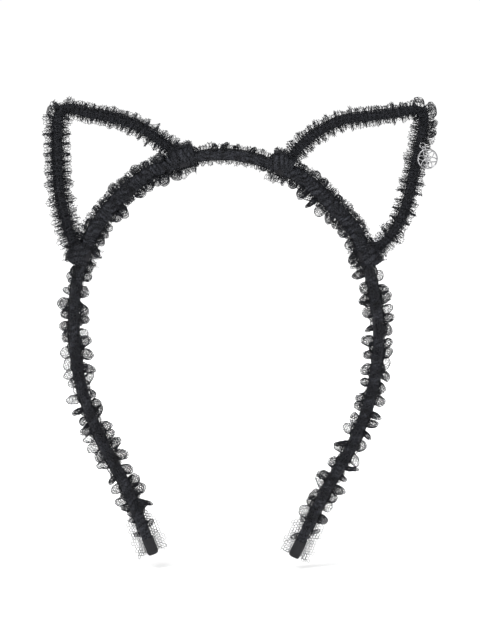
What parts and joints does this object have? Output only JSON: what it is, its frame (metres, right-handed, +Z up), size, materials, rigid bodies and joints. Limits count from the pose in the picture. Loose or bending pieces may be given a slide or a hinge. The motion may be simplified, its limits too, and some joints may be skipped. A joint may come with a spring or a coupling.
{
  "type": "animal ears headband",
  "caption": "Springy black headband with two open wire ears, all covered in gathered tulle, and a small openwork charm hanging from one ear.",
  "frame": {"origin": "underside of the crown at the middle of the hoop, where the headband rests on the top of the head", "axes": "+Z up, away from the head; the hoop lies in the XZ plane; -Y is the front of the headband and +X is to the right seen from the front"},
  "size_m": [0.1644, 0.0145, 0.1917],
  "materials": {
    "core": "plain moulded black strip",
    "tape": "woven black tape wound at a slant, slight satin sheen",
    "wire": "drawn steel wire, unpolished",
    "tulle": "near-black hexagonal net with a cold sheen",
    "thread": "black sewing thread",
    "cap": "matt black cap",
    "silver": "polished silver-coloured metal"
  },
  "bodies": {
    "headband": {"crown_core": "core", "crown_tape": "tape", "crown_tulle": "tulle", "crown_gather_thread": "thread", "left_shoulder_tulle": "tulle", "left_shoulder_gather_thread": "thread", "right_shoulder_tulle": "tulle", "right_shoulder_gather_thread": "thread", "left_ear_wire": "wire", "left_ear_wire_tape": "tape", "left_ear_inner_binding": "tape", "left_ear_outer_binding": "tape", "left_ear_inner_tulle": "tulle", "left_ear_inner_gather_thread": "thread", "left_ear_outer_tulle": "tulle", "left_ear_outer_gather_thread": "thread", "right_ear_wire": "wire", "right_ear_wire_tape": "tape", "right_ear_inner_binding": "tape", "right_ear_outer_binding": "tape", "right_ear_inner_tulle": "tulle", "right_ear_inner_gather_thread": "thread", "right_ear_outer_tulle": "tulle", "right_ear_outer_gather_thread": "thread", "charm_thread_loop": "thread"},
    "left_arm": {"left_arm_core": "core", "left_arm_tape": "tape", "left_arm_tulle": "tulle", "left_arm_gather_thread": "thread", "left_end_cap": "cap"},
    "right_arm": {"right_arm_core": "core", "right_arm_tape": "tape", "right_arm_tulle": "tulle", "right_arm_gather_thread": "thread", "right_end_cap": "cap"},
    "jump_ring": {"charm_jump_ring": "silver"},
    "charm": {"charm": "silver"}
  },
  "joints": [
    {"name": "left_arm_flex", "type": "hinge", "parent": "headband", "child": "left_arm", "pos_m": [-0.0618, 0, -0.045], "axis": [0, 1, 0], "range_deg": [-4, 13], "stiffness_Nm_per_rad": 0.8},
    {"name": "right_arm_flex", "type": "hinge", "parent": "headband", "child": "right_arm", "pos_m": [0.0599, 0, -0.045], "axis": [0, -1, 0], "range_deg": [-4, 13], "stiffness_Nm_per_rad": 0.8},
    {"name": "jump_ring_lift", "type": "hinge", "parent": "headband", "child": "jump_ring", "pos_m": [0.0813, -0.0069, 0.0089], "axis": [-0.936, 0, -0.352], "range_deg": [0, 75]},
    {"name": "charm_swing", "type": "hinge", "parent": "jump_ring", "child": "charm", "pos_m": [0.0817, -0.0069, 0.0079], "axis": [0, 1, 0], "range_deg": [-45, 60]}
  ]
}
